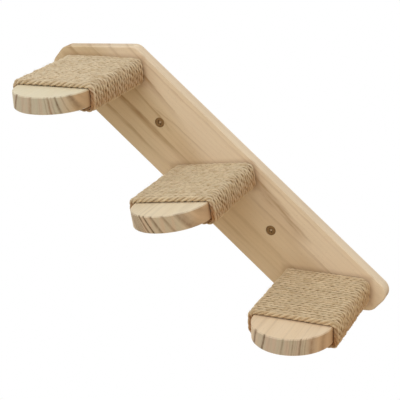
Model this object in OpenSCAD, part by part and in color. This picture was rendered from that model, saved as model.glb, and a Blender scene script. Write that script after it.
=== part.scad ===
// Cat ladder: a sloping pine board that is screwed flat to a wall, with three level steps
// that stand out from it. Each step has a half-round nose of bare pine, and is wound with
// jute rope from the board to the nose, so that the cat's claws find a grip.
// X runs along the wall, Z is up, and the wall is the plane Y = 0. The steps reach towards -Y.
// The origin is the centre of the board's back face.

/* [Board] */
// Width of the board, square to its long edges
board_w = 92; // [88:1:130]
// Thickness of the board
board_t = 15; // [12:0.5:24]
// Height between the board's two level ends
board_h = 286; // [276:1:340]
// Length of the board between its two square-cut tips, along the slope
board_len = 444; // [430:1:520]
// Slope of the board below the horizontal, in degrees
board_slope = 44; // [40:1:50]
// Radius of the board's corners
board_corner_r = 13; // [6:0.5:18]

/* [Steps] */
// Distance from one step to the next, along the board
step_spacing = 169; // [150:1:174]
// Width of a step's wood
step_w = 84; // [76:1:88]
// Thickness of a step's wood
step_t = 18; // [15:0.5:22]
// Reach of a step from the board to the tip of its nose
step_len = 150; // [110:1:158]
// Turn of the upper step on the board as it was put together, in degrees
upper_turn = -2; // [-4:0.5:4]
// Turn of the middle step on the board
middle_turn = 5; // [-6:0.5:6]
// Turn of the lower step on the board
lower_turn = -3; // [-4:0.5:4]
// Chamfer that breaks the edges of all the wood
edge_break = 1; // [1:0.1:2]

/* [Rope] */
// Diameter of the jute rope before it is wound
rope_d = 6; // [5:0.1:7]
// Width of a turn along the step, where the turns press on each other
rope_pressed = 5; // [4.8:0.1:8]
// Gap that is left between one turn and the next
rope_gap = 0.5; // [0.45:0.05:1]
// Slack between the rope and the wood
rope_slack = 0.45; // [0.4:0.05:0.8]
// Radius inside the rope's bend at the wood's edges
rope_bend_in = 1.8; // [1.2:0.1:1.9]

/* [Wall screws] */
// Diameter of a wall screw over its thread
wall_screw_d = 5.5; // [4.5:0.1:6]
// Length of a wall screw, with its head
wall_screw_len = 60; // [45:1:90]
// Diameter of a wall screw's head
wall_screw_head_d = 11; // [9:0.1:12.5]

/* [Step screws] */
// Diameter of a step screw over its thread
step_screw_d = 4.5; // [3.5:0.1:5]
// Length of a step screw, with its head
step_screw_len = 60; // [40:1:80]
// Diameter of a step screw's head
step_screw_head_d = 8.8; // [7.5:0.1:10]
// Distance between the two screws of a step
step_screw_gap = 46; // [24:1:50]

/* [Hidden] */
$fn = 64;

// Colours, as photographed
pine = [0.87, 0.77, 0.63];
jute = [0.72, 0.62, 0.47];
bronze = [0.36, 0.28, 0.19];
zinc = [0.75, 0.76, 0.77];

// Cuts run this far past a face, so that they leave no skin
past = 1;

// Each step, from the top of the ladder down: its place along the slope and its turn
UPPER = 0;
MIDDLE = 1;
LOWER = 2;
step_turn = [upper_turn, middle_turn, lower_turn];
LEFT = -1;
RIGHT = 1;

// A screw's diameter over the thread, its length and its head's diameter
wall_screw_size = [wall_screw_d, wall_screw_len, wall_screw_head_d];
step_screw_size = [step_screw_d, step_screw_len, step_screw_head_d];

// Length of the thread as a share of the screw's
thread_share = 2 / 3;
// Plain shank and length of the point, as shares of the diameter over the thread
shank_share = 0.72;
point_share = 1.1;
// Height of the straight rim round a head
head_land = 0.5;
// Cross recess: length of an arm at the top and at the bottom, its width and its depth, as shares of the head
cross_share = 0.5;
cross_foot_share = 0.2;
cross_slot_share = 0.13;
cross_depth_share = 0.28;
// Clearance round a screw where it passes through wood
screw_room = 0.2;

// The screw heads lie this far below the wood's surface
head_sink = 0.2;

// Places on the board's face, as [x, z], at a distance along the slope from its centre
function along_slope(s) = [s * cos(board_slope), -s * sin(board_slope)];
function step_at(i) = along_slope((i - 1) * step_spacing);
function wall_screw_at(k) = along_slope((k - 0.5) * step_spacing);

// Places one step's own pieces: X across the step, Y = 0 on the board's front face
module at_step(i) {
    p = step_at(i);
    translate([p[0], -board_t, p[1]]) rotate([0, -step_turn[i], 0]) children();
}

// The board's outline is the overlap of three bands: its long edges, its level ends and its square-cut tips.
// Each corner is where the edges of two bands meet.
function across(a) = [cos(a), sin(a)];
function meet(a1, d1, a2, d2) = [
    (d1 * sin(a2) - d2 * sin(a1)) / sin(a2 - a1),
    (d2 * cos(a1) - d1 * cos(a2)) / sin(a2 - a1)
];

// The directions that the six edges face, anticlockwise from the right-hand tip, and how far they are from the centre
edge_faces = [-board_slope, 90 - board_slope, 90, 180 - board_slope, 270 - board_slope, 270];
edge_far = [board_len / 2, board_w / 2, board_h / 2, board_len / 2, board_w / 2, board_h / 2];

// The corner rounds stand this far proud of the straight edges, so that the two cross cleanly
corner_proud = 0.005;

// Centre of the round at the corner between edge k and the next one
function corner_centre(k) = meet(
    edge_faces[k], edge_far[k] - board_corner_r,
    edge_faces[(k + 1) % 6], edge_far[(k + 1) % 6] - board_corner_r
);

// Ends of edge k, where its straight part meets the rounds
function edge_start(k) = corner_centre((k + 5) % 6) + board_corner_r * across(edge_faces[k]);
function edge_end(k) = corner_centre(k) + board_corner_r * across(edge_faces[k]);

// Turns a drawing in X and Y so that its Y is up and it stands with its back on Y = 0
module stand_up() {
    rotate([90, 0, 0]) children();
}

// The corner of wood that a chamfer takes off, with its point at the origin
module chamfer_profile() {
    polygon([[-edge_break - past, past], [past, past], [past, -edge_break - past]]);
}

// Takes a chamfer off an edge that runs from a to b, with the wood to its left and below Z = 0
module straight_chamfer(a, b) {
    run = b - a;
    translate(a) rotate([0, 0, atan2(run[1], run[0])]) rotate([90, 0, 90]) mirror([1, 0, 0])
        translate([0, 0, -past]) linear_extrude(norm(run) + 2 * past) chamfer_profile();
}

// The board's straight edges and the middle of it, with its corners cut away to their centres
module board_middle() {
    difference() {
        linear_extrude(board_t) polygon([for (k = [0:5]) each [edge_start(k), edge_end(k), corner_centre(k)]]);
        for (k = [0:5]) {
            translate([0, 0, board_t]) straight_chamfer(edge_start(k), edge_end(k));
            mirror([0, 0, 1]) straight_chamfer(edge_start(k), edge_end(k));
        }
    }
}

// A rounded corner of the board, about its centre
module board_corner() {
    r = board_corner_r + corner_proud;
    rotate_extrude() polygon([
        [0, 0],
        [r - edge_break, 0],
        [r, edge_break],
        [r, board_t - edge_break],
        [r - edge_break, board_t],
        [0, board_t]
    ]);
}

// Back board

module back_board() {
    color(pine) difference() {
        stand_up() {
            board_middle();
            for (k = [0:5]) translate(corner_centre(k)) board_corner();
        }
        for (k = [0:1]) at_wall_screw(k) screw_hole(wall_screw_size, board_t);
        for (i = [UPPER:LOWER], side = [LEFT, RIGHT])
            at_step_screw(i, side) screw_hole(step_screw_size, board_t);
    }
}

// Screws. A screw lies along Z with the top of its head at Z = 0 and its point below.

function head_depth(size) = head_land + (size[2] - shank_d(size)) / 2;
function shank_d(size) = size[0] * shank_share;
function thread_len(size) = size[1] * thread_share;
function point_len(size) = size[0] * point_share;

module screw(size) {
    plain_end = size[1] - thread_len(size);
    thread_end = size[1] - point_len(size);
    difference() {
        rotate_extrude() polygon([
            [0, 0],
            [size[2] / 2, 0],
            [size[2] / 2, -head_land],
            [shank_d(size) / 2, -head_depth(size)],
            [shank_d(size) / 2, -plain_end],
            [size[0] / 2, -plain_end],
            [size[0] / 2, -thread_end],
            [0, -size[1]]
        ]);
        for (turn = [0, 90]) rotate([0, 0, turn]) cross_slot(size);
    }
}

// One arm of the cross recess in a screw's head, narrower at the bottom
module cross_slot(size) {
    top = size[2] * cross_share / 2;
    foot = size[2] * cross_foot_share / 2;
    wide = size[2] * cross_slot_share;
    deep = size[2] * cross_depth_share;
    rotate([90, 0, 0]) translate([0, 0, -wide / 2]) linear_extrude(wide)
        polygon([[-top, past], [top, past], [top, 0], [foot, -deep], [-foot, -deep], [-top, 0]]);
}

// The hole that a screw needs in a board: a countersink, then a bore that its thread clears
module screw_hole(size, depth) {
    wide = size[2] + 2 * screw_room;
    bore = size[0] + 2 * screw_room;
    cone = (wide - bore) / 2;
    translate([0, 0, -head_land - head_sink]) cylinder(h = head_land + head_sink + past, d = wide);
    translate([0, 0, -head_land - head_sink - cone]) cylinder(h = cone, d1 = bore, d2 = wide);
    translate([0, 0, -depth - past]) cylinder(h = depth + past, d = bore);
}

// Wall screws, driven from the front. Z = 0 here is the board's front face and +Z faces the room.
module at_wall_screw(k) {
    p = wall_screw_at(k);
    translate([p[0], -board_t, p[1]]) rotate([90, 0, 0]) children();
}

module wall_screw(k) {
    color(bronze) at_wall_screw(k) translate([0, 0, -head_sink]) screw(wall_screw_size);
}

// Step screws, driven from the back. Z = 0 here is the board's back face and +Z faces the wall.
module at_step_screw(i, side) {
    at_step(i) translate([side * step_screw_gap / 2, board_t, 0]) rotate([-90, 0, 0]) children();
}

module step_screw(i, side) {
    color(zinc) at_step_screw(i, side) translate([0, 0, -head_sink]) screw(step_screw_size);
}

// Steps. The nose is a half circle as wide as the step.

nose_r = step_w / 2;
nose_y = -(step_len - nose_r);

module step_outline() {
    translate([-step_w / 2, nose_y]) square([step_w, -nose_y]);
    translate([0, nose_y]) circle(nose_r);
}

// Takes the chamfer off the upper edges of a step, with the wood below Z = 0
module step_chamfers() {
    straight_chamfer([-step_w / 2, 0], [-step_w / 2, nose_y]);
    straight_chamfer([step_w / 2, nose_y], [step_w / 2, 0]);
    translate([0, nose_y]) rotate([0, 0, 180])
        rotate_extrude(angle = 180) translate([nose_r, 0]) chamfer_profile();
}

// The hole that the point and the thread of a step screw cut in the step's end grain
module thread_hole(size, depth) {
    bore = size[0] + screw_room;
    deep = size[1] - depth + past;
    translate([0, 0, -depth - deep]) cylinder(h = deep + past, d = bore);
}

module step_board(i) {
    color(pine) difference() {
        at_step(i) difference() {
            translate([0, 0, -step_t / 2]) linear_extrude(step_t) step_outline();
            for (face = [0, 1]) mirror([0, 0, face]) translate([0, 0, step_t / 2]) step_chamfers();
            rope_slot(RIGHT, first_end_y, -first_end_y);
            rope_slot(LEFT, last_end_y, 0);
        }
        for (side = [LEFT, RIGHT]) at_step_screw(i, side) thread_hole(step_screw_size, board_t);
    }
}

// Rope. Each turn runs square round the step, and steps over to the next one on the underside.
// Each end is glued into a slot in the underside, and the board closes the first slot.
// The turns squeeze each other, so the rope is narrower along the step than it is thick.

rope_sides = 5;
rope_out_r = rope_d / (1 + cos(180 / rope_sides));
rope_in_r = rope_d - rope_out_r;
rope_bend_r = rope_in_r + rope_bend_in;
// Radius inside the rope's bend at the mouth of a slot, and to the middle of the rope there
rope_dip_in = 0.5;
rope_dip_r = rope_out_r + rope_dip_in;

// Half width and half thickness of the loop that the middle of the rope follows, and half of its straight runs
loop_x = step_w / 2 + rope_slack + rope_in_r;
loop_z = step_t / 2 + rope_slack + rope_in_r;
run_x = loop_x - rope_bend_r;
run_z = loop_z - rope_bend_r;
slot_x = run_x - rope_dip_r;

// The first turn lies against the board and the last one where the nose begins
end_shift = rope_pressed * (rope_dip_r + rope_out_r) / (2 * run_x);
first_end_y = -(rope_slack + rope_pressed / 2);
first_turn_y = first_end_y - end_shift;
last_turn_y = nose_y;
last_end_y = last_turn_y - end_shift;
rope_turns = 1 + round((first_turn_y - last_turn_y) / rope_pressed);
rope_pitch = (first_turn_y - last_turn_y) / (rope_turns - 1);
rope_w = rope_pitch - rope_gap;

// The slot in the underside that takes a rope end. It is longer towards the board by the last measure, which
// opens the first one through the end grain.
module rope_slot(side, y, longer) {
    slot_w = rope_w + 2 * rope_slack;
    slot_l = 2 * (rope_out_r + rope_slack);
    slot_deep = rope_dip_r + rope_d + rope_slack - (loop_z - step_t / 2);
    translate([side * slot_x, y, -step_t / 2 - past]) linear_extrude(slot_deep + past)
        translate([-slot_l / 2, -slot_w / 2]) square([slot_l, slot_w + longer]);
}

// The side of the rope that faces away from the wood, for a heading in degrees above +X
function outward(heading) = [sin(heading), -cos(heading)];

// A station of the rope is [x, z, heading, y]. The four bends of a turn, from the lower right one.
bend_steps = [0, 0.5, 1];
bend_centre = [[run_x, -run_z], [run_x, run_z], [-run_x, run_z], [-run_x, -run_z]];
function turn_y(turn) = first_turn_y - turn * rope_pitch;
function bend_station(turn, c, t) =
    let (heading = 90 * (c + t), o = outward(heading))
    [bend_centre[c][0] + rope_bend_r * o[0], bend_centre[c][1] + rope_bend_r * o[1], heading, turn_y(turn)];

// A rope end: its bend from the underside, where t is 0, into the slot, where t is 1, and its cut face
function dip_station(t, side, y) = [
    side * (slot_x + rope_dip_r * (1 - sin(90 * t))),
    -loop_z + rope_dip_r * (1 - cos(90 * t)),
    -side * 90 * t,
    y
];
function cut_end(side, y) = [side * slot_x, -loop_z + rope_dip_r + rope_d, -side * 90, y];

stations = concat(
    [cut_end(RIGHT, first_end_y), dip_station(1, RIGHT, first_end_y), dip_station(0.5, RIGHT, first_end_y)],
    [for (turn = [0:rope_turns - 1], c = [0:3], t = bend_steps) bend_station(turn, c, t)],
    [dip_station(0.5, LEFT, last_end_y), dip_station(1, LEFT, last_end_y), cut_end(LEFT, last_end_y)]
);

// The ring of points round the rope at one station
function rope_ring(s) = [
    for (k = [0:rope_sides - 1])
        let (a = 360 * k / rope_sides, o = rope_out_r * cos(a) * outward(s[2]))
        [s[0] + o[0], s[3] + rope_w / 2 * sin(a) / sin(360 / rope_sides), s[1] + o[1]]
];
rings = [for (s = stations) rope_ring(s)];
rope_points = [for (ring = rings) each ring];

// Two triangles join side j of ring k to the next ring, and a fan closes each end
function skin(k, j) =
    let (
        a = k * rope_sides + j,
        b = k * rope_sides + (j + 1) % rope_sides,
        c = b + rope_sides,
        d = a + rope_sides
    )
    [[a, b, c], [a, c, d]];
last_ring = (len(stations) - 1) * rope_sides;
rope_faces = concat(
    [for (k = [0:len(stations) - 2], j = [0:rope_sides - 1]) each skin(k, j)],
    [for (j = [1:rope_sides - 2]) [0, j + 1, j]],
    [for (j = [1:rope_sides - 2]) [last_ring, last_ring + j, last_ring + j + 1]]
);

// Least gap from the rope to itself, measured between the points of rings one turn apart, and between the first
// end and points of the run that passes beside it on the underside
rings_per_turn = 4 * len(bend_steps);
turn_gaps = [
    for (k = [0:len(rings) - 1 - rings_per_turn])
        min([for (p = rings[k], q = rings[k + rings_per_turn]) norm(p - q)])
];
probe_step = 0.5;
beside_first_end = [
    for (x = [slot_x - rope_out_r:probe_step:run_x])
        rope_ring([x, -loop_z, 0, first_turn_y - rope_pitch * (x + run_x) / (2 * run_x)])
];
end_gaps = [for (ring = beside_first_end, k = [1:3]) min([for (p = ring, q = rings[k]) norm(p - q)])];
echo("least gap from the rope to itself, mm", min(concat(turn_gaps, end_gaps)));
bend_len = rope_bend_r * PI / 2;
turn_len = 4 * (run_x + run_z + bend_len);
echo("rope on one step, m", (rope_turns * turn_len - 2 * run_x + 2 * (rope_d + rope_dip_r * PI / 2)) / 1000);
echo("turns", rope_turns);

module rope_wrap(i) {
    color(jute) at_step(i) polyhedron(points = rope_points, faces = rope_faces);
}

back_board();
step_board(UPPER);  // step_board_upper
step_board(MIDDLE);  // step_board_middle
step_board(LOWER);  // step_board_lower
rope_wrap(UPPER);  // rope_wrap_upper
rope_wrap(MIDDLE);  // rope_wrap_middle
rope_wrap(LOWER);  // rope_wrap_lower
step_screw(UPPER, LEFT);  // step_screw_upper_left
step_screw(UPPER, RIGHT);  // step_screw_upper_right
step_screw(MIDDLE, LEFT);  // step_screw_middle_left
step_screw(MIDDLE, RIGHT);  // step_screw_middle_right
step_screw(LOWER, LEFT);  // step_screw_lower_left
step_screw(LOWER, RIGHT);  // step_screw_lower_right
wall_screw(0);  // wall_screw_upper
wall_screw(1);  // wall_screw_lower
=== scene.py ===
"""Cat ladder: a sloping pine board that is screwed to a wall, with three level steps wound with jute rope.

X runs along the wall with the high end at -X, Z is up, and the steps reach towards -Y from the wall at Y = 0.
"""

import math
import random

import bpy
from mathutils import Matrix, Vector


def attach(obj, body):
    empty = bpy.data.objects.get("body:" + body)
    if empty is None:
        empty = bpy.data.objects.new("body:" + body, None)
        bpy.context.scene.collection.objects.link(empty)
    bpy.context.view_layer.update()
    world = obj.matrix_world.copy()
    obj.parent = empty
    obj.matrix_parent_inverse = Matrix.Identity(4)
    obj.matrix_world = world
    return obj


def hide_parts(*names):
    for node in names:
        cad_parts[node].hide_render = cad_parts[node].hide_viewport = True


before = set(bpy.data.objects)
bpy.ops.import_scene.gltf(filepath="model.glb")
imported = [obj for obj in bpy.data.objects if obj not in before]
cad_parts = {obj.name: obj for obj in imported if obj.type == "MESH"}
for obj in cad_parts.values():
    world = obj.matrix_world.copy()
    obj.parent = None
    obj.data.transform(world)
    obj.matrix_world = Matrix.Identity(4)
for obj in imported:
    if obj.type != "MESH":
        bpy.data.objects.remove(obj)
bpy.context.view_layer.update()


# Back board: one length of plain-sawn pine, planed to 15 mm, sawn to a six-sided outline with round corners,
# and sanded bare. The grain runs along the slope, so the growth rings show as long faint lines on the face.

mm = 0.001


class Wire:
    """A socket of a node tree. Sums on wires add Math nodes, and node() adds any other node."""

    def __init__(self, tree, socket=None):
        self.tree = tree
        self.socket = socket

    def node(self, kind, settings=None, sockets=None, out=0):
        """Adds a node, with its settings first and then the values or links of its sockets."""
        made = self.tree.nodes.new(kind)
        for name, value in (settings or {}).items():
            if name == "stops":
                lay_stops(made.color_ramp, *value)
            elif name == "items":
                set_items(made, value)
            else:
                setattr(made, name, value)
        for name, value in (sockets or {}).items():
            socket = pick(made.inputs, name)
            for one in value if isinstance(value, list) else [value]:
                if isinstance(one, Wire):
                    self.tree.links.new(one.socket, socket)
                else:
                    socket.default_value = one
        if isinstance(out, tuple):
            return [Wire(self.tree, pick(made.outputs, name)) for name in out]
        return Wire(self.tree, pick(made.outputs, out)) if made.outputs else None

    def sum(self, operation, *others):
        """One Math node on this value and the others."""
        return self.node("ShaderNodeMath", {"operation": operation}, numbered("Value", self, *others))

    def vector(self, operation, *others, out="Vector"):
        """One Vector Math node on this place and the others."""
        return self.node("ShaderNodeVectorMath", {"operation": operation}, numbered("Vector", self, *others), out)

    def __add__(self, other):
        return self.sum("ADD", other)

    __radd__ = __add__

    def __sub__(self, other):
        return self.sum("SUBTRACT", other)

    def __rsub__(self, other):
        return self.node("ShaderNodeMath", {"operation": "SUBTRACT"}, numbered("Value", other, self))

    def __mul__(self, other):
        return self.sum("MULTIPLY", other)

    __rmul__ = __mul__

    def __truediv__(self, other):
        return self.sum("DIVIDE", other)

    def __rtruediv__(self, other):
        return self.node("ShaderNodeMath", {"operation": "DIVIDE"}, numbered("Value", other, self))

    def rise(self, low, high):
        """0 below low, 1 above high, and a smooth rise between."""
        sockets = {"Value": self, "From Min": low, "From Max": high}
        return self.node("ShaderNodeMapRange", {"interpolation_type": "SMOOTHSTEP"}, sockets, "Result")

    def parts(self):
        return self.node("ShaderNodeSeparateXYZ", None, {"Vector": self}, ("X", "Y", "Z"))

    def spot(self, x=0.0, y=0.0, z=0.0):
        """A place from its three parts."""
        return self.node("ShaderNodeCombineXYZ", None, {"X": x, "Y": y, "Z": z})

    def stretched(self, *factors):
        return self.vector("MULTIPLY", factors)

    def noise(self, detail=2.0, roughness=0.5, distortion=0.0):
        """Noise about 0 at this place, between about -1 and 1."""
        middle, spread = 0.5, 2.6
        sockets = {"Vector": self, "Scale": 1.0, "Detail": detail, "Roughness": roughness, "Distortion": distortion}
        return (self.node("ShaderNodeTexNoise", None, sockets, "Fac") - middle) * spread

    def mix(self, first, second, share):
        """The first colour, with a share of the second one."""
        settings = {"data_type": "RGBA", "clamp_factor": True}
        sockets = {"Factor_Float": share, "A_Color": first, "B_Color": second}
        return self.node("ShaderNodeMix", settings, sockets, "Result_Color")

    def blended(self, other, share):
        return self.mix(self, other, share)

    def scaled(self, factor):
        """A colour made brighter, or a direction made longer."""
        return self.node("ShaderNodeVectorMath", {"operation": "SCALE"}, {"Vector": self, "Scale": factor})


def numbered(name, *values):
    """Values by the identifiers of a node's like sockets, as in Value, Value_001 and Value_002."""
    return dict(zip((name, name + "_001", name + "_002"), values))


def pick(sockets, name):
    """The socket with this number or identifier."""
    if isinstance(name, int):
        return sockets[name]
    return next(socket for socket in sockets if socket.identifier == name)


def lay_stops(ramp, between, stops):
    """Puts a ramp's stops at their places, each a place and a colour, with straight or curved runs between."""
    ramp.interpolation = between
    while len(ramp.elements) < len(stops):
        ramp.elements.new(1.0)
    for element, (place, colour) in zip(ramp.elements, stops):
        element.position = place
        element.color = colour


def colour(red, green, blue):
    """A colour that is written as it looks on a screen, from 0 to 255, as the linear value a shader needs."""
    screen = (red, green, blue)
    linear = ((c / 255 / 12.92) if c <= 10 else ((c / 255 + 0.055) / 1.055) ** 2.4 for c in screen)
    return (*linear, 1.0)


def new_material(name):
    """An empty material, and a wire to add nodes to it with."""
    material = bpy.data.materials.new(name)
    material.use_nodes = True
    material.node_tree.nodes.clear()
    return material, Wire(material.node_tree)


def finish_material(wire, shader):
    wire.node("ShaderNodeOutputMaterial", None, {"Surface": shader})


def grain_place(wire, across, along, deep, start):
    """Millimetres across the board, along its grain and below its show face, from a point on that face."""
    turned = Matrix((across, along, deep)).transposed().to_euler("XYZ")
    return wire.node(
        "ShaderNodeMapping",
        {"vector_type": "TEXTURE"},
        {
            "Vector": wire.node("ShaderNodeTexCoord", out="Object"),
            "Location": start,
            "Rotation": turned,
            "Scale": (mm, mm, mm),
        },
    )


def pine(name, across, along, deep, start, ground, latewood, end_grain_tones, late_tones, side=0.0, ring_face=1.0):
    """Bare sanded pine.

    From the wire of the place in the grain, ground() gives the colour of the wood between the rings, and latewood()
    gives how dark and how red the rings are there. side is how much painted warm shade the face at the far end of
    `across` gets, and ring_face is how much of the rings the flat faces show.
    """
    warm_side_shade, canal_brown, blush = colour(204, 160, 112), colour(150, 104, 62), colour(214, 170, 134)
    material, wire = new_material(name)
    place = grain_place(wire, across, along, deep, start)
    rings, red = latewood(place)

    # Each pattern is longer along the grain: a factor of 1 / 75 makes it 75 mm long
    streak = place.stretched(1 / 2.4, 1 / 75, 1 / 2.4).noise(3.0, 0.62, 0.1)
    fibre = place.stretched(1.9, 1 / 28, 1.9).noise(4.0, 0.62, 0.15)
    thread = place.stretched(6.0, 1 / 14, 6.0).noise(2.0, 0.6)
    mottle = place.stretched(1 / 6, 1 / 14, 1 / 6).noise(3.0, 0.6)
    canal = 1.0 - wire.node(
        "ShaderNodeTexVoronoi",
        {"feature": "F1"},
        {"Vector": place.stretched(1.05, 1 / 7.5, 1.05), "Scale": 1.0, "Randomness": 1.0},
        "Distance",
    ).rise(0.07, 0.16)
    normal = wire.node("ShaderNodeTexCoord", out="Normal")

    def towards(axis):
        """How squarely the surface faces this way, from -1 to 1."""
        return normal.vector("DOT_PRODUCT", axis, out="Value")

    cut = towards(along).sum("ABSOLUTE")
    end_grain = cut.rise(0.45, 0.95)
    flat = towards(deep).sum("ABSOLUTE")
    sanded_shaded_chamfer = flat.rise(0.4, 0.62) * (1.0 - flat.rise(0.8, 0.95))

    # End grain soaks up more dirt and is darker: grey and pinkish by turns from ring to ring, and speckled
    turns = place.stretched(1 / 5.5, 1 / 400, 1 / 60).noise(1.0)
    speckle = place.stretched(2.3, 0.1, 2.3).noise(3.0, 0.7)
    end = wire.mix(*end_grain_tones, (turns * 0.9 + 0.5).rise(0.0, 1.0)).scaled(1.0 + speckle * 0.07)

    # The face towards the far end of across gets painted warm shade, as much as side says
    wood = ground(place).blended(warm_side_shade, towards(across).rise(0.45, 0.95) * side)
    wood = wood.blended(end, end_grain * 0.85)
    late = wire.mix(*late_tones, red)
    wood = wood.blended(late, rings * (ring_face + (1.2 - ring_face) * cut.rise(0.1, 0.6)))
    wood = wood.blended(late_tones[1], streak.rise(0.1, 1.3) * 0.3)
    wood = wood.blended(canal_brown, canal * 0.32)
    wood = wood.blended(blush, mottle.rise(0.0, 1.1) * 0.16)
    # The sanded chamfers are 4% darker, painted shade that tones down their lit highlight; their lower roughness is
    # real
    wood = wood.scaled(1.01 + fibre * 0.055 + thread * 0.03 + mottle * 0.02 - streak * 0.02 - sanded_shaded_chamfer * 0.04)

    height = fibre * 0.018 + thread * 0.008 + rings * 0.03 - canal * 0.03 + speckle * end_grain * 0.015
    bump = wire.node("ShaderNodeBump", None, {"Strength": 0.9, "Distance": mm, "Height": height})
    shader = wire.node(
        "ShaderNodeBsdfPrincipled",
        None,
        {
            "Base Color": wood,
            "Roughness": 0.58 + fibre * 0.05 - rings * 0.08 + end_grain * 0.12 - sanded_shaded_chamfer * 0.06,
            "Normal": bump,
            "Specular IOR Level": 0.35,
        },
    )
    finish_material(wire, shader)
    return material


def share_of(place, half):
    """A place from -half to half as a share from 0 to 1, which a ramp needs."""
    return (place + half) / (2 * half)


slope = math.radians(44)
board_thickness = 15 * mm
down_slope = Vector((math.cos(slope), 0, -math.sin(slope)))
up_board = Vector((math.sin(slope), 0, math.cos(slope)))
into_wall = Vector((0, 1, 0))

# The steps stand on the middle line of the face, each turned a few degrees off level
step_spacing = 169 * mm
step_turns = {"upper": -2, "middle": 5, "lower": -3}
step_order = list(step_turns)

# The growth lines on the face, which reaches half_run along the slope and half_rise across it in millimetres: how
# wide each line is, and its course down the slope as millimetres along, millimetres across and darkness
half_run, half_rise = 222, 46
board_lines = [
    (1.6, [(-222, 41, 0.1), (-157, 41, 0.3), (-60, 40, 0.2), (30, 41, 0.22), (110, 40, 0.16), (222, 41, 0.05)]),
    (4.0, [(-150, 33, 0.0), (-127, 29, 0.64), (-100, 25, 0.55), (-78, 22, 0.25), (-60, 20, 0.0), (222, 20, 0.0)]),
    (2.4, [(-222, 27, 0.25), (-180, 26, 0.4), (-150, 24, 0.0), (222, 22, 0.0)]),
    (2.2, [
        (-222, 9, 0.3), (-130, 9, 0.5), (-78, 5, 0.44), (-66, 4, 0.0), (30, 13, 0.0), (60, 13.5, 0.34), (150, 14, 0.26),
        (222, 12, 0.1),
    ]),
    (1.6, [(-110, 9, 0.0), (-96, 9, 0.3), (-70, 12, 0.34), (-20, 13, 0.12), (0, 13, 0.0), (222, 13, 0.0)]),
    (4.2, [
        (-222, -10, 0.5), (-190, -10, 0.5), (-137, -9, 0.95), (-80, -10, 0.75), (-32, -11, 0.3), (40, -13, 0.2),
        (125, -14, 0.26), (222, -12, 0.15),
    ]),
    (3.2, [
        (-222, -31, 0.15), (-142, -29, 0.6), (-100, -29, 0.66), (-75, -30, 0.3), (0, -29, 0.1), (50, -30, 0.3),
        (85, -30, 0.1), (222, -31, 0.1),
    ]),
    # This broad faint line is painted shade below and to the right of the middle step
    (9.0, [(20, 36, 0.0), (42, 33, 0.48), (78, 30, 0.44), (106, 26, 0.2), (128, 24, 0.0), (222, 24, 0.0)]),
    (2.8, [(20, 36, 0.0), (41, 34, 0.75), (62, 32, 0.6), (86, 30, 0.3), (104, 29, 0.0), (222, 29, 0.0)]),
    (2.6, [(30, 31, 0.0), (46, 30, 0.5), (72, 28, 0.66), (101, 26, 0.6), (128, 24, 0.0), (222, 24, 0.0)]),
    (2.6, [(36, 26, 0.0), (56, 25, 0.5), (80, 24, 0.4), (104, 22, 0.42), (124, 21, 0.0), (222, 21, 0.0)]),
]


def board_latewood(place):
    """How dark and how red the growth lines are at a place in the board."""
    across, along, deep = place.parts()
    wander = place.stretched(1 / 22, 1 / 90, 1 / 22).noise(2.0, 0.55)
    feather = place.stretched(1 / 1.7, 1 / 20, 1 / 1.7).noise(3.0, 0.62)
    where = across + deep * 0.45 + wander * 1.1 + feather * 1.2
    down = share_of(along, half_run)
    lines = None
    for width, course in board_lines:
        stops = [(share_of(s, half_run), (share_of(w, half_rise), dark, 0, 1)) for s, w, dark in course]
        ramp = down.node("ShaderNodeValToRGB", {"stops": ("CARDINAL", stops)}, {"Fac": down}, "Color")
        lie, dark, _ = ramp.parts()
        gap = where - (lie * (2 * half_rise) - half_rise)
        line = (1.0 - gap.rise(0.0, width * 0.5)) * gap.rise(-width * 1.7, 0.0) * dark
        lines = line if lines is None else lines.sum("MAXIMUM", line)

    # The lines come and go along the grain, and faint narrow rings lie between them
    worn = place.stretched(1 / 5, 1 / 34, 1 / 5).noise(2.0, 0.6).rise(-0.9, 0.7) * 0.75 + 0.35
    ripple = (where * 1.15 + wander * 2.0).sum("SINE")
    faint = ripple.rise(0.1, 1.0) * (place.stretched(1 / 40, 1 / 120, 1 / 40).noise(1.0) + 0.6).rise(0.0, 1.4) * 0.1
    return (lines * worn + faint).sum("MINIMUM", 1.0), 0.5 + wander * 0.4


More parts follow.
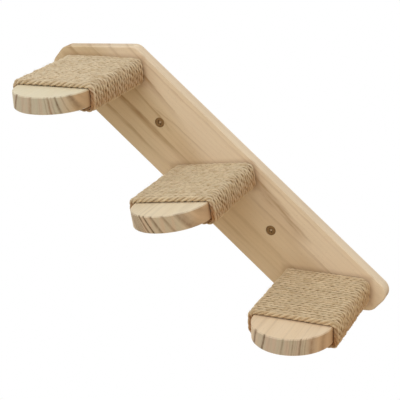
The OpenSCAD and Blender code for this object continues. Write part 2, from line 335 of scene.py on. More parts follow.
def board_ground(place):
    """Pale towards the upper edge and warmer below it, with a painted shadow below the middle step, and painted shade
    in the corner round the foot of each step and below it.
    """
    pale_wood, warm_wood, grey_wood = colour(238, 217, 187), colour(220, 193, 154), colour(212, 189, 150)
    palest_wood, step_shadow_wood, foot_shade_brown = colour(248, 228, 198), colour(186, 150, 106), colour(160, 118, 74)
    foot_half_width, foot_half_height = 48.5, 15
    across, along, deep = place.parts()
    tone = place.stretched(1 / 30, 1 / 200, 1 / 30).noise(2.0, 0.5)
    warmer = (tone * 0.45 + 0.76 - across.rise(-5, 32) * 0.85).rise(0.0, 1.0)
    greyer = (1.0 - along.rise(-95, -45)) * (1.0 - across.rise(8, 30)) * 0.5
    palest = along.rise(-60, -12) * (1.0 - along.rise(12, 42)) * across.rise(-8, 10)
    palest = palest.sum("MAXIMUM", along.rise(105, 150) * across.rise(8, 20))
    # A painted shadow of the middle step on the face, below and to the right of it
    step_shadow_patch = along.rise(40, 66) * (1.0 - along.rise(104, 130)) * across.rise(0, 12) * (1.0 - across.rise(20, 31))
    ground = place.mix(pale_wood, warm_wood, warmer)
    ground = ground.blended(grey_wood, greyer).blended(palest_wood, palest * 0.55).blended(step_shadow_wood, step_shadow_patch * 0.27)
    on_face = 1.0 - deep.rise(0.5, 2.5)
    for which in step_order:
        foot = step_spacing / mm * (step_order.index(which) - 1)
        turn = slope + math.radians(step_turns[which])
        x = (along - foot) * math.cos(turn) + across * math.sin(turn)
        z = across * math.cos(turn) - (along - foot) * math.sin(turn)
        off = (x.sum("ABSOLUTE") - foot_half_width).sum("MAXIMUM", z.sum("ABSOLUTE") - foot_half_height)
        under = 1.0 - z.rise(-6.0, 14.0)
        # Painted shade round the foot of each step, darkest in the corner and spreading below the step
        foot_shade = (1.0 - off.rise(-1.0, 6.0)) * 0.32 + (1.0 - off.rise(0.0, 24.0)) * under * 0.14
        ground = ground.blended(foot_shade_brown, foot_shade * on_face)
    return ground


board_pine = pine(
    "board_pine",
    up_board, down_slope, into_wall, (0, -board_thickness, 0),
    board_ground, board_latewood,
    end_grain_tones=(colour(196, 176, 144), colour(198, 166, 134)),
    late_tones=(colour(146, 110, 66), colour(176, 134, 86)),
)
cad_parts["back_board"].data.materials[0] = board_pine


# Steps: three lengths of 18 mm pine with a half-round nose, sanded bare. They are butted against the board's face,
# each a few degrees off level as it was put together. The nose shows the rings of the end grain.

step_thickness = 18 * mm

# The growth rings of each step: how far they lean and spread with depth below the top face, and each ring's place
# across the step, its soft and its sharp side in millimetres, how dark and how red it is
step_rings = {
    "upper": (0.073, -0.0145, [
        (-39.5, 3, 1, 0.4, 0.6), (-31, 2.5, 0.8, 0.16, 0.5), (-20.8, 3.2, 1.8, 0.85, 0.5), (-11, 2, 1, 0.12, 0.6),
        (-1.8, 3.6, 2.0, 0.42, 0.9), (7, 1.2, 0.6, 0.14, 0.5), (12.6, 1.0, 0.6, 0.34, 0.7), (15.6, 2.0, 1.2, 0.6, 0.9),
        (18.4, 0.8, 0.5, 0.3, 0.6), (22.2, 1.6, 1.0, 0.72, 0.2), (27, 0.8, 0.6, 0.3, 0.4), (33.0, 3.2, 2.0, 0.66, 0.3),
        (38, 1.5, 0.8, 0.2, 0.8),
    ]),
    "middle": (-0.6, 0.0, [
        (-36.7, 1.4, 0.7, 0.6, 0.3), (-33.3, 1.5, 0.8, 0.85, 0.2), (-30.9, 1.3, 0.7, 0.85, 0.2),
        (-28.7, 1.3, 0.7, 0.8, 0.4), (-26.4, 1.2, 0.7, 0.7, 0.2), (-24.1, 1.2, 0.7, 0.7, 0.3),
        (-21.9, 1.2, 0.6, 0.65, 0.2), (-18.1, 2.4, 1.8, 0.85, 0.2), (-12.1, 1.9, 1.3, 1.0, 0.0),
        (-3.3, 3.2, 1.8, 0.68, 0.2), (9.2, 3.4, 1.8, 0.45, 0.4), (22.0, 3.4, 10.0, 0.56, 0.5),
        (37.5, 4.5, 3.0, 0.45, 0.6),
    ]),
    "lower": (0.169, -0.0029, [
        (-38, 2, 1, 0.3, 0.3), (-26.8, 3.0, 1.8, 0.78, 0.3), (-15.4, 2.1, 1.4, 0.88, 0.1), (-9, 1.0, 0.8, 0.12, 0.5),
        (4.4, 1.6, 1.8, 0.42, 0.1), (9.5, 0.6, 0.5, 0.2, 0.5), (11.8, 0.6, 0.4, 0.26, 0.7), (14.6, 1.3, 0.8, 0.5, 0.7),
        (16.8, 0.6, 0.4, 0.3, 0.7), (18.4, 0.6, 0.4, 0.34, 0.7), (21.3, 1.6, 1.2, 0.72, 0.4),
        (23.6, 0.6, 0.4, 0.36, 0.7), (25.6, 0.7, 0.5, 0.5, 0.7), (30.4, 3.8, 4.0, 0.5, 0.9),
        (38.4, 3.0, 2.0, 0.45, 0.8),
    ]),
}


def step_at(which):
    """The middle of a step where it meets the board, and its directions across and up."""
    place = down_slope * step_spacing * (step_order.index(which) - 1)
    turn = math.radians(step_turns[which])
    across = Vector((math.cos(turn), 0, math.sin(turn)))
    up = Vector((-math.sin(turn), 0, math.cos(turn)))
    return Vector((place.x, -board_thickness, place.z)), across, up


def step_latewood(lean, spread, rings):
    """The rings of a step. A ramp holds 32 stops and a ring takes 3, so the rings are on two ramps."""
    half_ramp, on_first_ramp = 50, 9

    def latewood(place):
        across, _, deep = place.parts()
        wander = place.stretched(1 / 30, 1 / 70, 1 / 18).noise(2.0, 0.5)
        feather = place.stretched(1 / 1.1, 1 / 16, 1 / 1.6).noise(3.0, 0.65)
        where = (across + deep * lean) / (1.0 - deep * spread) + wander * 0.7 + feather * 0.3
        dark, red = None, None
        for part in (rings[:on_first_ramp], rings[on_first_ramp:]):
            stops = []
            for ring, soft, sharp, shade, redness in part:
                for off, share in ((-soft, 0.0), (0.0, 1.0), (sharp, 0.0)):
                    stops.append((share_of(ring + off, half_ramp), (shade * share, redness, 0, 1)))
            lie = share_of(where, half_ramp)
            ramp = where.node("ShaderNodeValToRGB", {"stops": ("LINEAR", stops)}, {"Fac": lie}, "Color")
            shade, redness, _ = ramp.parts()
            if dark is None:
                dark, red = shade, redness
            else:
                # The darker of the two ramps counts, with its own redness
                second = shade.sum("GREATER_THAN", dark)
                red = redness * second + red * (1.0 - second)
                dark = dark.sum("MAXIMUM", shade)
        worn = place.stretched(1 / 3, 1 / 16, 1 / 5).noise(3.0, 0.65).rise(-0.9, 0.5) * 0.6 + 0.45
        ripple = (where * 1.7 + wander * 2.4).sum("SINE")
        return (dark * worn + ripple.rise(0.2, 1.0) * 0.045).sum("MINIMUM", 1.0), red

    return latewood


def step_ground(pale, warm):
    """Bare wood, with faint painted brown shade in the corner where the last turn of the rope lies on it."""
    crevice_shade_brown, crevice_shade_from, crevice_shade_to = colour(124, 86, 50), 110.9, 112.3

    def ground(place):
        _, along, _ = place.parts()
        tone = place.stretched(1 / 24, 1 / 120, 1 / 24).noise(2.0, 0.5)
        bare = place.mix(pale, warm, (tone * 0.5 + 0.34).rise(0.0, 1.0))
        # Faint painted shade along the crevice under the rope's last turn
        return bare.blended(crevice_shade_brown, (1.0 - along.rise(crevice_shade_from, crevice_shade_to)) * 0.08)

    return ground


# The pale and the warm wood of each step, its end grain by turns, and how much its flat faces show of the rings
step_tones = {
    "upper": (colour(225, 214, 185), colour(218, 202, 168), colour(192, 186, 164), colour(199, 179, 157), 0.06),
    "middle": (colour(236, 221, 192), colour(226, 206, 171), colour(193, 178, 150), colour(203, 174, 144), 0.2),
    "lower": (colour(237, 214, 182), colour(226, 198, 160), colour(190, 182, 160), colour(200, 177, 156), 0.2),
}
for which in step_order:
    middle, across, up = step_at(which)
    lean, spread, rings = step_rings[which]
    pale, warm, grey_end, pink_end, ring_face = step_tones[which]
    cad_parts["step_board_" + which].data.materials[0] = pine(
        "step_pine_" + which,
        across, -into_wall, -up, middle + up * step_thickness / 2,
        step_ground(pale, warm), step_latewood(lean, spread, rings),
        end_grain_tones=(grey_end, pink_end),
        late_tones=(colour(96, 70, 40), colour(142, 98, 62)),
        side=0.7,
        ring_face=ring_face,
    )


# Step screws: two countersunk wood screws of 4.5 x 60 mm for each step, zinc plated. They are driven from the back
# of the board into the step's end grain before the ladder goes on the wall.


def new_tree(name, sizes):
    """A geometry tree with named inputs. Returns the tree, and its inputs as wires."""
    tree = bpy.data.node_groups.new(name, "GeometryNodeTree")
    tree.interface.new_socket("Geometry", in_out="INPUT", socket_type="NodeSocketGeometry")
    tree.interface.new_socket("Geometry", in_out="OUTPUT", socket_type="NodeSocketGeometry")
    for size, kind in sizes.items():
        tree.interface.new_socket(size, in_out="INPUT", socket_type="NodeSocket" + kind)
    given = tree.nodes.new("NodeGroupInput")
    wires = {socket.name: Wire(tree, socket) for socket in given.outputs if socket.name}
    return tree, wires


def grown(name, tree, start, values):
    """The mesh that a geometry tree makes from a start mesh, as a plain object with nothing live on it."""
    piece = bpy.data.objects.new(name, start)
    bpy.context.scene.collection.objects.link(piece)
    live = piece.modifiers.new("grow", "NODES")
    live.node_group = tree
    for item in tree.interface.items_tree:
        if item.in_out == "INPUT" and item.name in values:
            live[item.identifier] = values[item.name]
    seen = piece.evaluated_get(bpy.context.evaluated_depsgraph_get())
    mesh = bpy.data.meshes.new_from_object(seen)
    mesh.name = name
    piece.modifiers.remove(live)
    piece.data = mesh
    return piece


def set_items(made, items):
    """The items of a switch, by number, or the attributes that a capture keeps."""
    if isinstance(items, int):
        while len(made.index_switch_items) < items:
            made.index_switch_items.new()
    else:
        for kind, name in items:
            made.capture_items.new(kind, name)


def stored(geometry, kind, name, value):
    """The geometry with a value that is kept at its points under a name, for the shader."""
    return geometry.node(
        "GeometryNodeStoreNamedAttribute",
        {"data_type": kind, "domain": "POINT"},
        {"Geometry": geometry, "Name": name, "Value": value},
    )


def circle(wire, sides, radius):
    return wire.node("GeometryNodeCurvePrimitiveCircle", None, {"Resolution": sides, "Radius": radius}, "Curve")


def skinned(line, profile, scale=1.0):
    """The closed skin that a profile leaves along a line."""
    sockets = {"Curve": line, "Profile Curve": profile, "Scale": scale, "Fill Caps": True}
    return line.node("GeometryNodeCurveToMesh", None, sockets)


def moved(points, spot):
    return points.node("GeometryNodeSetPosition", None, {"Geometry": points, "Position": spot})


def screw_tree():
    """A countersunk screw along Z, with the top of its head at Z = 0 and its point below."""
    sizes = ["Length", "Thread", "Core", "Shank", "Head", "Rim", "Plain Length", "Point Length", "Pitch", "Recess"]
    tree, given = new_tree("wood_screw", {**{size: "Float" for size in sizes}, "Metal": "Material"})
    wire = Wire(tree)
    length, head, rim, recess = given["Length"], given["Head"] / 2, given["Rim"], given["Recess"]
    shank, core, thread = given["Shank"] / 2, given["Core"] / 2, given["Thread"] / 2
    plain, point, pitch = given["Plain Length"], given["Point Length"], given["Pitch"]
    cone_end = rim + head - shank

    # The head, shank, core and point as one turned body: depth below the top, and radius there
    turned = [
        (0.0, 0.02 * mm),
        (0.0, head - rim * 0.5),
        (rim * 0.12, head - rim * 0.15),
        (rim * 0.4, head),
        (rim * 0.85, head),
        (rim * 1.1, head - rim * 0.15),
        (cone_end - rim * 0.3, shank + rim * 0.32),
        (cone_end, shank + rim * 0.06),
        (cone_end + rim * 0.5, shank),
        (plain, shank),
        (plain + rim, core),
        (length - point, core),
        (length - point * 0.35, core * 0.5),
        (length, 0.06 * mm),
    ]
    line = wire.node("GeometryNodeCurvePrimitiveLine", None, {"End": (0, 0, -1)})
    line = wire.node("GeometryNodeResampleCurve", {"mode": "COUNT"}, {"Curve": line, "Count": len(turned)})
    index = wire.node("GeometryNodeInputIndex")

    def at_point(values):
        """The value of each point of the line, by its number."""
        sockets = {"Index": index, **{k + 1: value for k, value in enumerate(values)}}
        return wire.node("GeometryNodeIndexSwitch", {"data_type": "FLOAT", "items": len(values)}, sockets)

    depth = at_point([where for where, _ in turned])
    radius = at_point([wide for _, wide in turned])
    line = moved(line, wire.spot(z=0.0 - depth))
    line = wire.node("GeometryNodeSetCurveRadius", None, {"Curve": line, "Radius": radius})
    body = skinned(line, circle(wire, 40, 1.0), radius)

    # The cross recess: two tapered blades and a round one in the middle cut the head from a little above it
    above = 0.3 * mm
    blades = []
    for turn in (0, 90):
        blade = wire.node("GeometryNodeCurvePrimitiveLine", None, {"Start": (0, 0, above), "End": (0, 0, -1)})
        blade = wire.node("GeometryNodeResampleCurve", {"mode": "COUNT"}, {"Curve": blade, "Count": 2})
        blade = moved(blade, wire.spot(z=above - index * (recess * 0.38 + above)))
        sockets = {"Width": recess * 2.0, "Height": recess * 0.5}
        flat = wire.node("GeometryNodeCurvePrimitiveQuadrilateral", None, sockets)
        cut = skinned(blade, flat, at_point([1.06, 0.6]))
        sockets = {"Geometry": cut, "Rotation": (0, 0, math.radians(turn))}
        blades.append(wire.node("GeometryNodeTransform", None, sockets))
    bore_deep = 0.42
    sockets = {"Radius Top": recess * 0.5, "Radius Bottom": recess * 0.32, "Depth": recess * bore_deep + above}
    bore = wire.node("GeometryNodeMeshCone", None, {"Vertices": 20, **sockets}, "Mesh")
    sockets = {"Geometry": bore, "Translation": wire.spot(z=recess * -bore_deep)}
    blades.append(wire.node("GeometryNodeTransform", None, sockets))
    body = wire.node(
        "GeometryNodeMeshBoolean",
        {"operation": "DIFFERENCE", "solver": "EXACT"},
        {"Mesh 1": body, "Mesh 2": blades, "Self Intersection": True},
        "Mesh",
    )

    # The cuts leave double corners, and slivers without any area along their edges
    body = wire.node("GeometryNodeMergeByDistance", None, {"Geometry": body, "Distance": 0.001 * mm})
    body = wire.node("GeometryNodeTriangulate", None, {"Mesh": body})
    sliver_area = 5.5e-6 * mm**2
    sliver = wire.node("GeometryNodeInputMeshFaceArea").sum("LESS_THAN", sliver_area)
    body = wire.node("GeometryNodeDeleteGeometry", {"domain": "FACE"}, {"Geometry": body, "Selection": sliver})

    # The driver has polished the middle of the recess bare, which also makes a painted highlight there, and the recess
    # walls round it get painted shade
    x, y, z = wire.node("GeometryNodeInputPosition").parts()
    near = (x * x + y * y) / (recess * recess)
    inside = (1.0 - near.rise(1.0, 1.3)) * z.rise(recess * -0.6, recess * -0.5) * (1.0 - z.rise(-0.5 * mm, 0.0))
    bare = inside * (1.0 - near.rise(0.12, 0.3))
    body = stored(stored(body, "FLOAT", "bare", bare), "FLOAT", "grime", inside - bare)

    # The thread: a three-cornered ridge on a spiral, which thins out into the shank and down to the point
    tip = point * 0.12
    rise = length - plain - tip
    sockets = {"Resolution": 24, "Rotations": rise / pitch, "Start Radius": core, "End Radius": core, "Height": rise}
    spiral = wire.node("GeometryNodeCurveSpiral", None, sockets)
    narrow = 0.12 + 0.88 * z.rise(0.0, point * 0.95)
    fade = (0.25 + 0.75 * narrow) * (1.0 - 0.85 * z.rise(rise - pitch, rise))
    spiral, fade = wire.node(
        "GeometryNodeCaptureAttribute", {"items": [("FLOAT", "Fade")]}, {"Geometry": spiral, 1: fade}, (0, 1)
    )
    spiral = moved(spiral, wire.spot(x * narrow, y * narrow, z - (length - tip)))
    spiral = wire.node("GeometryNodeSetCurveNormal", {"mode": "Z_UP"}, {"Curve": spiral})
    ridge = moved(circle(wire, 3, thread - core), wire.spot(x, y * 0.42))

    whole = wire.node("GeometryNodeJoinGeometry", None, {"Geometry": [skinned(spiral, ridge, fade), body]})
    whole = wire.node("GeometryNodeSetMaterial", None, {"Geometry": whole, "Material": given["Metal"]})
    whole = wire.node("GeometryNodeRealizeInstances", None, {"Geometry": whole})
    wire.node("NodeGroupOutput", None, {0: whole})
    return tree


def kept(wire, name, out="Fac"):
    """What the geometry tree stored under this name."""
    return wire.node("ShaderNodeAttribute", {"attribute_name": name}, None, out)


def metal(name, base, dark, worn, shine, rough):
    """Plated or painted steel, with a mottled finish that is rubbed where the driver and the wood touched it, a painted
    highlight in the middle of the recess and painted shade on its walls.
    """
    material, wire = new_material(name)
    place = wire.node("ShaderNodeTexCoord", out="Object").stretched(1 / mm, 1 / mm, 1 / mm)
    mottle = place.stretched(0.9, 0.9, 0.9).noise(3.0, 0.6)
    fine = place.stretched(6, 6, 6).noise(3.0, 0.65)
    scratch = place.stretched(7.0, 0.8, 3.0).noise(2.0, 0.6, 0.6)
    rubbed = (scratch * 0.8 + mottle * 0.4).rise(0.55, 1.05)
    tint = wire.mix(base, dark, (mottle * 0.5 + 0.4).rise(0.0, 1.0))
    # Painted shade darkens the recess walls, and the bare centre takes the worn colour, also as a painted highlight
    tint = tint.scaled(1.0 - kept(wire, "grime") * 0.85).blended(worn, rubbed * 0.35 + kept(wire, "bare"))
    height = fine * 0.008 - rubbed * 0.008
    bump = wire.node("ShaderNodeBump", None, {"Strength": 0.7, "Distance": mm, "Height": height})
    shader = wire.node(
        "ShaderNodeBsdfPrincipled",
        None,
        {
            "Base Color": tint,
            "Metallic": shine,
            "Roughness": rough + fine * 0.06 - rubbed * 0.1,
            "Normal": bump,
        },
    )
    finish_material(wire, shader)
    return material


def drive_screw(node, screw, sizes, metal_finish, at, out_of):
    """One screw in its place: `at` is the middle of the top of its head, which faces `out_of`."""
    values = {name: size * mm for name, size in sizes.items()}
    piece = grown(node + "_turned", screw, bpy.data.meshes.new(node), {**values, "Metal": metal_finish})
    # The way that one arm of the cross recess points
    arm = Vector((0.9, 0, 0.43)).normalized()
    arm = (arm - out_of * arm.dot(out_of)).normalized()
    turned = Matrix((arm, out_of.cross(arm), out_of)).transposed().to_4x4()
    piece.data.transform(Matrix.Translation(at) @ turned)
    piece.data.shade_smooth()
    sharp_from = math.radians(32)
    piece.data.set_sharp_from_angle(angle=sharp_from)
    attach(piece, "root")
    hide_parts(node)
    return piece


zinc = metal(
    "bright_zinc", base=colour(196, 199, 204), dark=colour(168, 172, 180), worn=colour(226, 226, 222),
    shine=1.0, rough=0.34,
)
wood_screw = screw_tree()
step_screw_sizes = {
    "Length": 60, "Thread": 4.5, "Core": 2.9, "Shank": 3.24, "Head": 8.8, "Rim": 0.5,
    "Plain Length": 20, "Point Length": 5, "Pitch": 2.2, "Recess": 2.2,
}
head_sink = 0.2 * mm
step_screw_reach = 23 * mm
for which in step_order:
    middle, across, up = step_at(which)
    for side, name in ((-1, "left"), (1, "right")):
        at = middle + across * side * step_screw_reach
        at.y = -head_sink
        screw = drive_screw(f"step_screw_{which}_{name}", wood_screw, step_screw_sizes, zinc, at, into_wall)


# Rope windings: 6 mm three-strand jute rope, wound 22 turns tight round each step from the board to the nose.
# Each end is glued into a slot in the underside, and the rope steps over to its next turn on the underside.

# The course of the rope's middle: its turns and ends by their distance from the board, the half lengths of its straight
# runs, and its bends round the step's corners and into the slots
rope_turns = 22
rope_pitch = 4.98149 * mm
rope_first_turn = 3.3887 * mm
rope_first_end, rope_last_end = 2.95 * mm, 108.4387 * mm
run_x, run_z = 40.65 * mm, 7.65 * mm
bend, dip = 4.57 * mm, 3.8167 * mm
slot_x, slot_deep = 36.833 * mm, 6 * mm

# How unevenly it was wound, in millimetres: from turn to turn, at the corners and between them. Then how far its runs
# over the top and down the sides bow out from the wood
turn_shift, corner_shift, run_shift = 0.13, 0.06, 0.05
top_bow, side_bow = 0.35, 0.42


def rope_path(seed):
    """The middle of the rope round a step, as points [across, along, up] from the board's face."""
    chance = random.Random(seed)
    low = -(run_z + bend)
    dive_steps, corner_steps = 4, 5
    # The way from the underside up into a slot, across and up
    dive = []
    for k in range(dive_steps + 1):
        a = math.radians(90 * k / dive_steps)
        dive.append((slot_x + dip * (1 - math.sin(a)), low + dip * (1 - math.cos(a))))
    dive.append((slot_x, low + dip + slot_deep))
    points = [(x, rope_first_end, z) for x, z in reversed(dive)]
    corners = ((run_x, -run_z), (run_x, run_z), (-run_x, run_z), (-run_x, -run_z))
    for turn in range(rope_turns):
        for c, (x, z) in enumerate(corners):
            shift = chance.gauss(0, turn_shift) * mm
            tight = bend + chance.gauss(0, corner_shift) * mm
            along = rope_first_turn + turn * rope_pitch + shift
            for k in range(corner_steps + 1):
                a = math.radians(90 * (c + k / corner_steps))
                points.append((x + tight * math.sin(a), along, z - tight * math.cos(a)))
            bow = (side_bow if c in (0, 2) else top_bow) * mm * chance.uniform(0.7, 1.3)
            # The rope bows out most halfway to the next corner, and runs straight along the underside
            if c < 3:
                a = math.radians(90 * (c + 1))
                next_x, next_z = corners[c + 1]
                for t, share in ((0.3, 0.8), (0.5, 1), (0.7, 0.8)):
                    lift = tight + bow * share
                    bowed_x = x + (next_x - x) * t + lift * math.sin(a)
                    bowed_z = z + (next_z - z) * t - lift * math.cos(a)
                    points.append((bowed_x, along + chance.gauss(0, run_shift) * mm, bowed_z))
    return points + [(-x, rope_last_end, z) for x, z in dive]


def rope_tree():
    """Three-strand rope along a line of points. Its strands press flat against the wood and the next turn."""
    floats = [
        "Strand Radius", "Lay", "Reach Out", "Reach Aside", "Step", "Open From",
        "Hairs", "Hair Length", "Hair Thickness",
    ]
    tree, given = new_tree(
        "laid_rope", {**{size: "Float" for size in floats}, "Sides": "Int", "Seed": "Int", "Jute": "Material"}
    )
    wire = Wire(tree)
    strand_count, full_turn = 3, 2 * math.pi
    yarn_twist, fibre_length = 30 * mm, 10 * mm
    path = wire.node("GeometryNodeMeshToCurve", None, {"Mesh": given["Geometry"]})
    path = wire.node("GeometryNodeResampleCurve", {"mode": "LENGTH"}, {"Curve": path, "Length": given["Step"]})
    path, strand = wire.node(
        "GeometryNodeDuplicateElements",
        {"domain": "SPLINE"},
        {"Geometry": path, "Amount": strand_count},
        ("Geometry", "Duplicate Index"),
    )
    share, reach = wire.node("GeometryNodeSplineParameter", out=("Factor", "Length"))
    heading = wire.node("GeometryNodeInputTangent")

    def square_to(a, b):
        made = wire.node("ShaderNodeVectorMath", {"operation": "CROSS_PRODUCT"}, numbered("Vector", a, b))
        return made.vector("NORMALIZE")

    # Out from the wood, and aside to the next turn
    out = square_to((0, 1, 0), heading)
    aside = square_to(heading, out)

    # The strands go round each other, now tighter and now slacker, each from its own place in the noise
    seeded = wire.spot(reach * 60, strand * 3.7, given["Seed"] * 11.3)
    slack = seeded.stretched(0.22, 0, 1).noise(2.0) * 3.2 + seeded.stretched(1.6, 1, 1).noise(1.0) * 0.3
    slack = slack + seeded.stretched(0.9, 0, 1).noise(1.0) * 0.7
    phase = strand * (full_turn / strand_count) - reach * full_turn / given["Lay"] + slack
    offset_out = out.scaled(phase.sum("COSINE") * given["Reach Out"])
    offset_aside = aside.scaled(phase.sum("SINE") * given["Reach Aside"])
    offset = offset_out.vector("ADD", offset_aside)
    plump = 1.0 + seeded.stretched(2.2, 1, 1).noise(2.0) * 0.07

    def named(kind, name):
        return wire.node("GeometryNodeInputNamedAttribute", {"data_type": kind}, {"Name": name}, "Attribute")

    # What the skin of the strands needs to know of the line inside it. Here the position is that of the line
    place = wire.node("GeometryNodeInputPosition")
    path = stored(path, "FLOAT", "reach", reach)
    path = stored(path, "FLOAT", "strand", strand)
    path = stored(path, "FLOAT_VECTOR", "core", place)
    path = stored(path, "FLOAT_VECTOR", "out", out)
    path = stored(path, "FLOAT", "open", share.sum("GREATER_THAN", given["Open From"]))
    _, _, upward = out.parts()
    path = stored(path, "FLOAT", "upward", upward.rise(0.0, 1.0))
    strands = wire.node("GeometryNodeSetPosition", None, {"Geometry": path, "Offset": offset})
    strands = wire.node("GeometryNodeSetCurveRadius", None, {"Curve": strands, "Radius": plump})
    around = wire.node("GeometryNodeInputIndex") / given["Sides"] * full_turn
    ring = stored(circle(wire, given["Sides"], given["Strand Radius"]), "FLOAT", "around", around)
    rope = skinned(strands, ring, plump)

    # The place in the strand's own twist, and how far the surface, whose position this now is, stands out from the
    # middle of the rope
    reach = named("FLOAT", "reach")
    angle = named("FLOAT", "around") + reach * (full_turn / yarn_twist)
    fibre = wire.spot(angle.sum("COSINE"), angle.sum("SINE"), reach / fibre_length + named("FLOAT", "strand") * 7.1)
    from_core = place.vector("SUBTRACT", named("FLOAT_VECTOR", "core"))
    proud = from_core.vector("DOT_PRODUCT", named("FLOAT_VECTOR", "out"), out="Value")
    proud = proud / (given["Reach Out"] + given["Strand Radius"])
    # The front of the last turn lies open to the nose, and gets as little painted valley shade there as the outside
    _, aside_core, _ = from_core.parts()
    front = aside_core * -1.0 / (given["Reach Aside"] + given["Strand Radius"]) * named("FLOAT", "open")
    front = front * (proud + 1.0).rise(-0.5, 0.2) * (0.42 + 0.58 * named("FLOAT", "upward"))
    proud = proud.sum("MAXIMUM", front)
    rope = stored(rope, "FLOAT_VECTOR", "fibre", fibre)
    rope = stored(rope, "FLOAT", "proud", proud)

    # Loose hairs of the jute: thin bent fibres that stand off the outside of the strands
    roots, rotation = wire.node(
        "GeometryNodeDistributePointsOnFaces",
        {"distribute_method": "RANDOM"},
        {
            "Mesh": rope,
            "Selection": named("FLOAT", "proud").sum("GREATER_THAN", 0.5),
            "Density": given["Hairs"],
            "Seed": given["Seed"],
        },
        ("Points", "Rotation"),
    )
    long = given["Hair Length"]
    hair = wire.node(
        "GeometryNodeCurveQuadraticBezier",
        None,
        {
            "Resolution": 4,
            "Start": (0, 0, -0.1 * mm),
            "Middle": wire.spot(x=long * 0.25, z=long * 0.5),
            "End": wire.spot(long, long * 0.2, long * 0.35),
        },
    )
    hair = skinned(hair, circle(wire, 3, given["Hair Thickness"] / 2))
    hair = stored(hair, "FLOAT", "proud", 1.3)

    def chance(least, most, draw):
        sockets = {"Min_001": least, "Max_001": most, "Seed": given["Seed"] + draw}
        return wire.node("FunctionNodeRandomValue", {"data_type": "FLOAT"}, sockets, "Value_001")

    twirl = wire.node(
        "FunctionNodeAxisAngleToRotation", None, {"Axis": (0, 0, 1), "Angle": chance(0.0, full_turn, 5)}
    )
    rotation = wire.node(
        "FunctionNodeRotateRotation", {"rotation_space": "LOCAL"}, {"Rotation": rotation, "Rotate By": twirl}
    )
    hairs = wire.node(
        "GeometryNodeInstanceOnPoints",
        None,
        {"Points": roots, "Instance": hair, "Rotation": rotation, "Scale": chance(0.35, 1.25, 9)},
    )
    whole = wire.node("GeometryNodeJoinGeometry", None, {"Geometry": [hairs, rope]})
    whole = wire.node("GeometryNodeRealizeInstances", None, {"Geometry": whole})

    # The shader reads fibre, proud, upward and low, and nothing else stays on the mesh
    for name in ("reach", "strand", "core", "out", "open", "around"):
        whole = wire.node("GeometryNodeRemoveAttribute", None, {"Geometry": whole, "Name": name})
    whole = wire.node("GeometryNodeSetMaterial", None, {"Geometry": whole, "Material": given["Jute"]})
    wire.node("NodeGroupOutput", None, {0: whole})
    return tree


def jute_finish(name, straw_tone):
    """Twisted jute: pale straw fibres in streaks along each strand, with painted brown shade in the valleys between
    strands and turns. The sides of a winding get painted light, and painted brown shade towards the bottom.
    """
    dull_straw, bleached = colour(190, 160, 118), colour(242, 229, 202)
    valley_shade_brown, side_shade_brown = colour(126, 78, 34), colour(192, 138, 84)
    material, wire = new_material(name)
    low, upward, proud = (kept(wire, value) for value in ("low", "upward", "proud"))
    fibre = kept(wire, "fibre", "Vector")
    place = wire.node("ShaderNodeTexCoord", out="Object").stretched(1 / mm, 1 / mm, 1 / mm)
    streak = fibre.stretched(3.2, 3.2, 0.55).noise(4.0, 0.65, 0.3)
    tuft = fibre.stretched(0.8, 0.8, 1.5).noise(2.0, 0.55)
    hairy = fibre.stretched(11, 11, 1.3).noise(2.0, 0.6)
    patch = place.stretched(1 / 14, 1 / 9, 1 / 14).noise(3.0, 0.6)
    clump = place.stretched(1 / 9, 1 / 5, 1 / 9).noise(3.0, 0.65)
    straw = wire.mix(straw_tone, dull_straw, (streak * 0.55 + tuft * 0.62 + 0.33).rise(0.0, 1.0))
    straw = straw.blended(bleached, (hairy * 0.6 + patch * 0.35 - tuft * 0.3).rise(0.35, 1.0) * 0.6)
    # Painted brown shade in the valleys, by how far in from the outside the surface lies, less of it on the tops
    valley_shade = (0.88 - 0.4 * upward) * (1.0 + clump * 0.8)
    straw = straw.blended(valley_shade_brown, (1.0 - proud.rise(0.1, 1.0)) * valley_shade)
    side = 1.0 - upward
    # Painted light on the sides of the winding, and painted brown shade low on them
    straw = straw.blended(side_shade_brown, side * low.rise(-0.7, 0.6) * (1.0 - low.rise(0.75, 1.0)) * 0.34)
    straw = straw.scaled(1.0 + patch * 0.13 + clump * 0.05 + side * (0.2 - low.rise(-1.0, 0.2) * 0.14))
    bump = wire.node("ShaderNodeBump", None, {"Strength": 1.0, "Distance": mm, "Height": streak * 0.1 + hairy * 0.05})
    shader = wire.node(
        "ShaderNodeBsdfPrincipled",
        None,
        {
            "Base Color": straw,
            "Roughness": 0.82 + hairy * 0.08,
            "Normal": bump,
            "Specular IOR Level": 0.2,
            "Sheen Weight": 0.12,
            "Sheen Roughness": 0.5,
        },
    )
    finish_material(wire, shader)
    return material


laid_rope = rope_tree()
first_seed = 3  # Of the unevenness of the upper winding. The others take the next ones
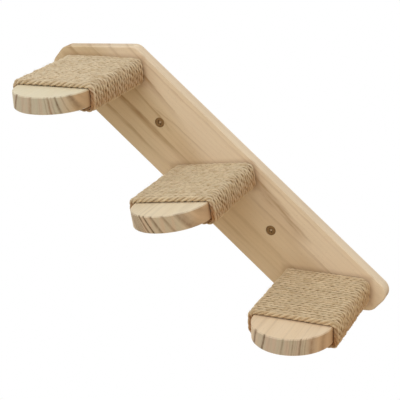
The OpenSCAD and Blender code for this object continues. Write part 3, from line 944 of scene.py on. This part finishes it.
# The lower windings' straw is a little warmer, as painted warm light
straw_tones = {"upper": colour(228, 211, 180), "middle": colour(228, 210, 177), "lower": colour(229, 207, 170)}
last_turn_and_foot = 1.03  # Turns whose front isn't hidden by another turn
rope_sizes = {
    "Strand Radius": 1.53 * mm, "Lay": 20.4 * mm, "Reach Out": 1.67 * mm, "Reach Aside": 1.0 * mm, "Step": 1.7 * mm,
    "Open From": 1 - last_turn_and_foot / rope_turns,
    "Hairs": 36000.0, "Hair Length": 3.2 * mm, "Hair Thickness": 0.09 * mm, "Sides": 8,
}
for number, which in enumerate(step_order):
    middle, across, up = step_at(which)
    path = rope_path(first_seed + number)
    points = [middle + across * x - into_wall * y + up * z for x, y, z in path]
    line = bpy.data.meshes.new("rope_line")
    line.from_pydata(points, [(k, k + 1) for k in range(len(points) - 1)], [])
    # How low on the winding each point lies: -1 on its top and 1 on its underside
    low = line.attributes.new("low", "FLOAT", "POINT")
    low.data.foreach_set("value", [-z / (run_z + bend) for _, _, z in path])
    jute = jute_finish("jute_rope_" + which, straw_tones[which])
    rope = grown("jute_winding_" + which, laid_rope, line, {**rope_sizes, "Seed": number, "Jute": jute})
    rope.data.shade_smooth()
    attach(rope, "root")
    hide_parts("rope_wrap_" + which)


# Wall screws: two countersunk screws of 5.5 x 60 mm in dark bronze, driven through the board's face into wall plugs,
# one between each pair of steps.

bronze = metal(
    "dark_bronze", base=colour(136, 102, 60), dark=colour(88, 60, 28), worn=colour(196, 166, 128),
    shine=0.75, rough=0.4,
)
wall_screw_sizes = {
    "Length": 60, "Thread": 5.5, "Core": 3.6, "Shank": 3.96, "Head": 11, "Rim": 0.5,
    "Plain Length": 20, "Point Length": 6, "Pitch": 2.6, "Recess": 2.75,
}
for name, side in (("upper", -0.5), ("lower", 0.5)):
    at = down_slope * step_spacing * side
    at.y = -board_thickness + head_sink
    screw = drive_screw("wall_screw_" + name, wood_screw, wall_screw_sizes, bronze, at, -into_wall)


# Studio: a plain pale floor well below the ladder, which hangs in the air as it would on its wall. Two soft lamps hang
# above it and one in front, with a small warm one low at the right, in a room that is white above and warm below.

floor_height = -0.5
floor_half = 8
ladder_middle = Vector((0, -0.05, 0))


def when_seen(wire):
    """1 where the camera looks, or a shiny or clear thing, and 0 for the light that falls on the ladder."""
    camera, glossy, through = wire.node(
        "ShaderNodeLightPath", out=("Is Camera Ray", "Is Glossy Ray", "Is Transmission Ray")
    )
    return (camera + glossy + through).sum("MINIMUM", 1.0)


def whitened(plain, share, kind):
    """A shader with a share of pure white over it."""
    white = plain.node(kind, None, {"Color": (1, 1, 1, 1), "Strength": 1.0})
    return plain.node("ShaderNodeMixShader", None, {"Fac": share, 1: plain, 2: white})


def soft_lamp(name, at, size, power, tint):
    """A round lamp that shines on the middle of the ladder."""
    lamp = bpy.data.lights.new(name, "AREA")
    lamp.color = tint
    lamp.shape = "DISK"
    lamp.size = size
    lamp.energy = power
    holder = bpy.data.objects.new(name, lamp)
    holder.location = at
    holder.rotation_mode = "QUATERNION"
    holder.rotation_quaternion = (ladder_middle - Vector(at)).to_track_quat("-Z", "Y")
    bpy.context.scene.collection.objects.link(holder)


floor_mesh = bpy.data.meshes.new("floor")
floor_corners = [(x * floor_half, y * floor_half, floor_height) for x, y in ((-1, -1), (1, -1), (1, 1), (-1, 1))]
floor_mesh.from_pydata(floor_corners, [], [(0, 1, 2, 3)])
floor = bpy.data.objects.new("floor", floor_mesh)
bpy.context.scene.collection.objects.link(floor)
floor_material, wire = new_material("pale_floor")
floor_red_green_blue = colour(222, 208, 184)[:3]
# To the camera the floor fades to white round a patch below the ladder, between these distances in metres
white_from, white_all = 0.3, 0.47
place = wire.node("ShaderNodeTexCoord", out="Object")
distance = place.stretched(1, 1, 0).vector("ADD", (0, 0.1, 0)).vector("LENGTH", out="Value")
grain = place.stretched(40, 40, 40).noise(3.0)
sockets = {"Vector": floor_red_green_blue, "Scale": 1.0 + grain * 0.01}
tint = wire.node("ShaderNodeVectorMath", {"operation": "SCALE"}, sockets)
sockets = {"Base Color": tint, "Roughness": 0.8, "Specular IOR Level": 0.1}
plain = wire.node("ShaderNodeBsdfPrincipled", None, sockets)
white_share = when_seen(wire) * distance.rise(white_from, white_all)
finish_material(wire, whitened(plain, white_share, "ShaderNodeEmission"))
floor_mesh.materials.append(floor_material)

world = bpy.data.worlds.new("studio")
world.use_nodes = True
world.node_tree.nodes.clear()
bpy.context.scene.world = world
wire = Wire(world.node_tree)
warm_below, white_above = (0.30, 0.18, 0.05, 1), (0.62, 0.62, 0.62, 1)
_, _, height = wire.node("ShaderNodeTexCoord", out="Generated").parts()
tint = wire.mix(warm_below, white_above, height.rise(-0.2, 0.4))
room = wire.node("ShaderNodeBackground", None, {"Color": tint, "Strength": 1.0})
wire.node("ShaderNodeOutputWorld", None, {"Surface": whitened(room, when_seen(wire), "ShaderNodeBackground")})

soft_lamp("top_lamp", at=(-0.6, -0.65, 1.5), size=1.1, power=3.6, tint=(1.0, 1.0, 0.98))
soft_lamp("over_lamp", at=(0.15, -0.5, 1.7), size=1.1, power=6.0, tint=(1.0, 1.0, 0.98))
soft_lamp("front_lamp", at=(-0.3, -2.0, 0.7), size=1.2, power=5.5, tint=(0.93, 0.98, 1.0))
soft_lamp("warm_lamp", at=(0.9, -0.7, -0.35), size=0.6, power=0.48, tint=(1.0, 0.5, 0.0))

# The camera's place, angles and lens were fitted to the photo
eye = Vector((0.51248259, -1.11522656, 0.40213690))
yaw, pitch, roll = 0.45118625, 0.33889439, -0.09267590
ahead = Vector((-math.sin(yaw) * math.cos(pitch), math.cos(yaw) * math.cos(pitch), -math.sin(pitch)))
right = Vector((math.cos(yaw), math.sin(yaw), 0))
above = right.cross(ahead)
camera_right = math.cos(roll) * right + math.sin(roll) * above
camera_up = -math.sin(roll) * right + math.cos(roll) * above
camera = bpy.data.objects.new("camera", bpy.data.cameras.new("camera"))
bpy.context.scene.collection.objects.link(camera)
camera.matrix_world = Matrix.Translation(eye) @ Matrix((camera_right, camera_up, -ahead)).transposed().to_4x4()
camera.data.sensor_width = 36
camera.data.lens = 105.7315
camera.data.clip_start, camera.data.clip_end = 0.05, 50
bpy.context.scene.camera = camera
bpy.context.scene.view_settings.view_transform = "Standard"
